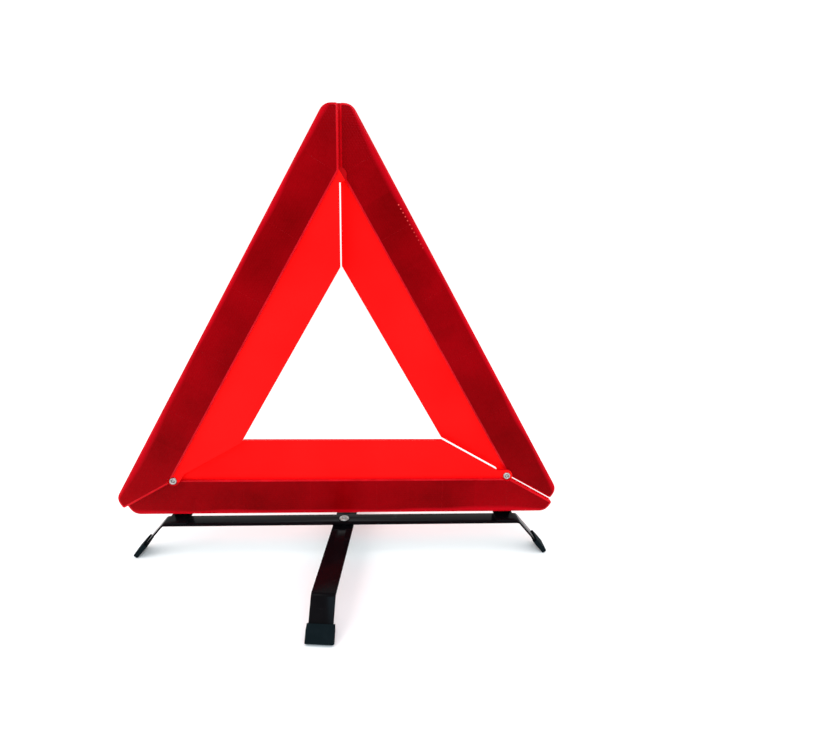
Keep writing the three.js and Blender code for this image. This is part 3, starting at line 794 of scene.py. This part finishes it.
def stand_boot(node, name, body, heading, bend, top, drop, width, length, strip_width):
    """A boot on the end of a strip that drops towards a heading, with its corner worn flat on the floor."""
    bm = hanging_boot(width, length, strip_width)
    end = bend + (top - METAL_LIFT) / math.tan(drop)
    reach = end - STRIP / 2 * math.sin(drop)
    height = METAL_LIFT - STRIP / 2 * math.cos(drop)
    lean = Matrix.Rotation(drop - math.pi / 2, 4, "X")
    shape = Matrix.Rotation(heading, 4, "Z") @ Matrix.Translation((0, -reach, height)) @ lean
    bmesh.ops.transform(bm, matrix=shape, verts=bm.verts)
    bmesh.ops.bisect_plane(
        bm, geom=everything(bm), plane_co=(0, 0, 0), plane_no=(0, 0, -1), clear_outer=True
    )
    bmesh.ops.contextual_create(bm, geom=open_edges(bm))
    boot = mesh_object(name, bm, smooth_angle=40)
    dress(boot, RUBBER)
    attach(boot, body)
    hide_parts(node)


for side, quarter in (("left", -1), ("right", 1)):
    stand_boot(
        f"{side}_foot", f"{side}_boot", "base", heading=quarter * math.pi / 2,
        bend=BAR_BEND, top=BAR_TOP, drop=BAR_DROP,
        width=BOOT_WIDTH, length=BOOT_LENGTH, strip_width=BAR_WIDTH,
    )
for side, half_turn in (("front", 0), ("rear", math.pi)):
    stand_boot(
        f"{side}_foot", f"{side}_boot", "leg", heading=LEG_SWING + half_turn,
        bend=LEG_BEND, top=LEG_TOP, drop=LEG_DROP,
        width=LEG_BOOT_WIDTH, length=LEG_BOOT_LENGTH, strip_width=LEG_WIDTH,
    )


# ---- Floor, light and camera -----------------------------------------------------------------------

FLOOR_SIZE = 6  # from its middle to its edges
FLOOR_DROP = 0.2 * MM  # under the feet
CAMERA_PLACE = Vector((34, -515, 332)) * MM
CAMERA_PITCH = math.radians(-15.96)
CAMERA_YAW = math.radians(-3.42)
CAMERA_ROLL = math.radians(1.22)
CAMERA_FOCAL = 574 / 824  # in picture widths


def floor():
    bm = bmesh.new()
    bmesh.ops.create_grid(bm, x_segments=1, y_segments=1, size=FLOOR_SIZE)
    obj = mesh_object("floor", bm)
    m = Material("floor", Roughness=0.9, Specular_IOR_Level=0.0)
    m.set("Base Color", m.mix(m.noise(m.place(), 3, 2), rgb(0.96, 0.96, 0.96), rgb(0.98, 0.98, 0.98)))
    dress(obj, m.data)
    obj.location.z = -FLOOR_DROP


def area_light(name, place, target, size, power, colour=(1, 1, 1)):
    data = bpy.data.lights.new(name, "AREA")
    data.shape = "DISK"
    data.size = size
    data.energy = power
    data.color = colour
    obj = add_object(name, data)
    obj.location = place
    obj.rotation_euler = (Vector(target) - Vector(place)).to_track_quat("-Z", "Y").to_euler()


def surroundings():
    world = bpy.data.worlds.new("studio")
    scene.world = world
    world.use_nodes = True
    background = world.node_tree.nodes["Background"]
    background.inputs["Color"].default_value = rgb(1.0, 1.0, 1.0)
    background.inputs["Strength"].default_value = 1.12
    scene.view_settings.view_transform = "Standard"


def camera():
    data = bpy.data.cameras.new("camera")
    data.sensor_width = 36
    data.lens = CAMERA_FOCAL * data.sensor_width
    data.clip_start = 0.01
    obj = add_object("camera", data)
    turn = (
        Matrix.Rotation(CAMERA_YAW, 4, "Z")
        @ Matrix.Rotation(math.pi / 2 + CAMERA_PITCH, 4, "X")
        @ Matrix.Rotation(CAMERA_ROLL, 4, "Z")
    )
    obj.matrix_world = Matrix.Translation(CAMERA_PLACE) @ turn
    scene.camera = obj


floor()
surroundings()
area_light("key", (-0.9, -0.5, 1.6), (0, 0, 0.2), size=1.2, power=8)
area_light("fill", (1.2, -0.2, 1.2), (0, 0, 0.15), size=1.0, power=3)
area_light(
    "cool_front", (0.1, -1.0, 0.75), (0, -0.1, 0.05), size=0.5, power=3, colour=(0.45, 0.8, 1.0)
)
camera()
